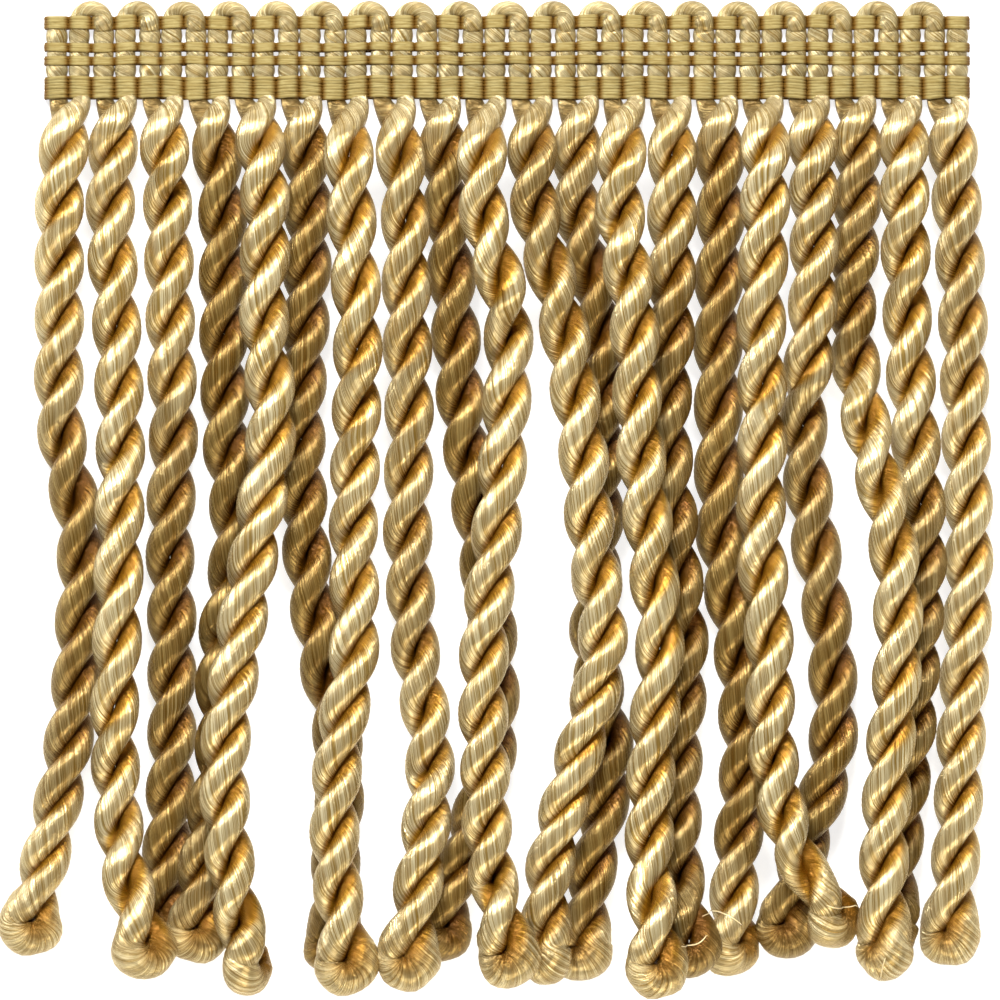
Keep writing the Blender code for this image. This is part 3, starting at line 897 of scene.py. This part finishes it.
warp_yarn = spun("warp_yarn")
for piece in (heading_warps, band_warps):
    piece.data.materials.append(warp_yarn)
print("nodes in the warps' finish", len(warp_yarn.node_tree.nodes))

# %% [markdown]
# ## Loose filaments
# Cut yarn always sheds a few filaments. Each one is drawn by three places in mm across
# and down the trim, then dropped by a ray until it lies on whatever is under it.

# %% Pale filaments over the loops
FILAMENT_RADIUS = 0.07 * MM
FILAMENT_TIP = 0.6
FILAMENT_POINTS = 25
ABOVE_ALL = 30 * MM
LOOSE_FILAMENTS = [
    ((26.6, -138.1), (28.9, -138.1), (30.6, -136.6)),
    ((30.0, -133.9), (33.0, -133.6), (36.0, -135.3)),
    ((48.8, -131.9), (51.1, -132.5), (53.6, -132.2)),
    ((57.7, -139.9), (57.3, -141.6), (57.1, -143.6)),
]
PALE_DEEP = (0.50, 0.38, 0.17, 1.0)
PALE_LIGHT = (0.78, 0.68, 0.43, 1.0)
PALE_GRAIN = 900.0
PALE_ROUGHNESS = 0.35
PALE_SHEEN = 0.2


def dropped(corners):
    """Bend a line through three places and lay it on what is under it."""
    start, middle, end = (np.array(corner) * MM for corner in corners)
    t = np.linspace(0.0, 1.0, FILAMENT_POINTS)[:, None]
    pull = 2 * middle - (start + end) / 2
    flat = (1 - t) ** 2 * start + 2 * t * (1 - t) * pull + t ** 2 * end
    view = bpy.context.evaluated_depsgraph_get()
    heights = []
    for x, y in flat:
        hit = bpy.context.scene.ray_cast(view, (x, y, ABOVE_ALL), (0, 0, -1))
        heights.append(hit[1].z if hit[0] else 0.0)
    heights = np.array(heights) + FILAMENT_RADIUS
    heights = np.maximum(heights, (np.roll(heights, 1) + np.roll(heights, -1)) / 2)
    points = np.column_stack([flat, heights])
    ones = np.ones(len(points))
    full = np.sin(np.linspace(0, math.pi, len(points)))
    radii = FILAMENT_RADIUS * (FILAMENT_TIP + (1 - FILAMENT_TIP) * full)
    return Path(points, radii, np.tile(UP, (len(points), 1)), ones, 0 * ones, 0 * ones)


bpy.context.view_layer.update()
loose_piece = sweep("loose_filaments", warp_outline, [dropped(c) for c in LOOSE_FILAMENTS])
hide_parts("fringe")
pale = Finish("pale_filament")
pale_grain = pale.noise(pale.make("TexCoord", {}, output=3), PALE_GRAIN)
pale_shader = pale.make("BsdfPrincipled", {}, {
    "Base Color": pale.mix(pale_grain, PALE_DEEP, PALE_LIGHT),
    "Roughness": PALE_ROUGHNESS, "Sheen Weight": PALE_SHEEN})
pale.make("OutputMaterial", {}, {"Surface": pale_shader})
loose_piece.data.materials.append(pale.material)
print("loose filaments", len(LOOSE_FILAMENTS))

# %% [markdown]
# ## Light
# The picture was lit by a broad soft source beyond the heading and a weaker one from
# the side of the loops. Between their two reflections each ply keeps a brown band,
# which is what makes silk look like silk. The floor glows a little, so that it stays
# white beside the bright yarn.

# %% Floor finish
PAPER_GREY = (0.45, 0.45, 0.45, 1.0)
PAPER_WHITE = (1.0, 1.0, 1.0, 1.0)
PAPER_GLOW = 0.80
PAPER_ROUGHNESS = 0.9

paper = Finish("floor_paper")
paper_shader = paper.make("BsdfPrincipled", {}, {
    "Base Color": PAPER_GREY, "Roughness": PAPER_ROUGHNESS,
    "Emission Color": PAPER_WHITE, "Emission Strength": PAPER_GLOW})
paper.make("OutputMaterial", {}, {"Surface": paper_shader})
floor_mesh.materials.append(paper.material)

# %% Lamps and world
Lamp = namedtuple("Lamp", "name place size watts colour")
LAMPS = [
    Lamp("key", (-0.08, 0.38, 0.56), (0.40, 0.10), 14.3, (1.0, 1.0, 1.0)),
    Lamp("fill", (0.05, -0.66, 0.44), (0.40, 0.16), 5.0, (1.0, 0.90, 0.68)),
]
ROOM_COLOUR = (1.0, 0.96, 0.88, 1.0)
ROOM_LIGHT = 0.07


def soft_lamp(name, place, size, watts, colour):
    """Add a rectangular soft light that looks at the middle of the trim."""
    data = bpy.data.lights.new(name, "AREA")
    data.shape = "RECTANGLE"
    data.size, data.size_y = size
    data.energy = watts
    data.color = colour
    lamp = bpy.data.objects.new(name, data)
    lamp.location = place
    aim = np.array([*VIEW_CENTRE, 0.0]) - np.array(place)
    pitch = math.atan2(math.hypot(aim[0], aim[1]), -aim[2])
    turn = math.atan2(-aim[0], aim[1])
    lamp.rotation_euler = (pitch, 0.0, turn)
    bpy.context.scene.collection.objects.link(lamp)


for lamp in LAMPS:
    soft_lamp(*lamp)
world = bpy.data.worlds.new("studio")
bpy.context.scene.world = world
world.use_nodes = True
background = world.node_tree.nodes["Background"]
background.inputs["Color"].default_value = ROOM_COLOUR
background.inputs["Strength"].default_value = ROOM_LIGHT
bpy.context.scene.view_settings.view_transform = "Standard"
print("lamps", [lamp.name for lamp in LAMPS])
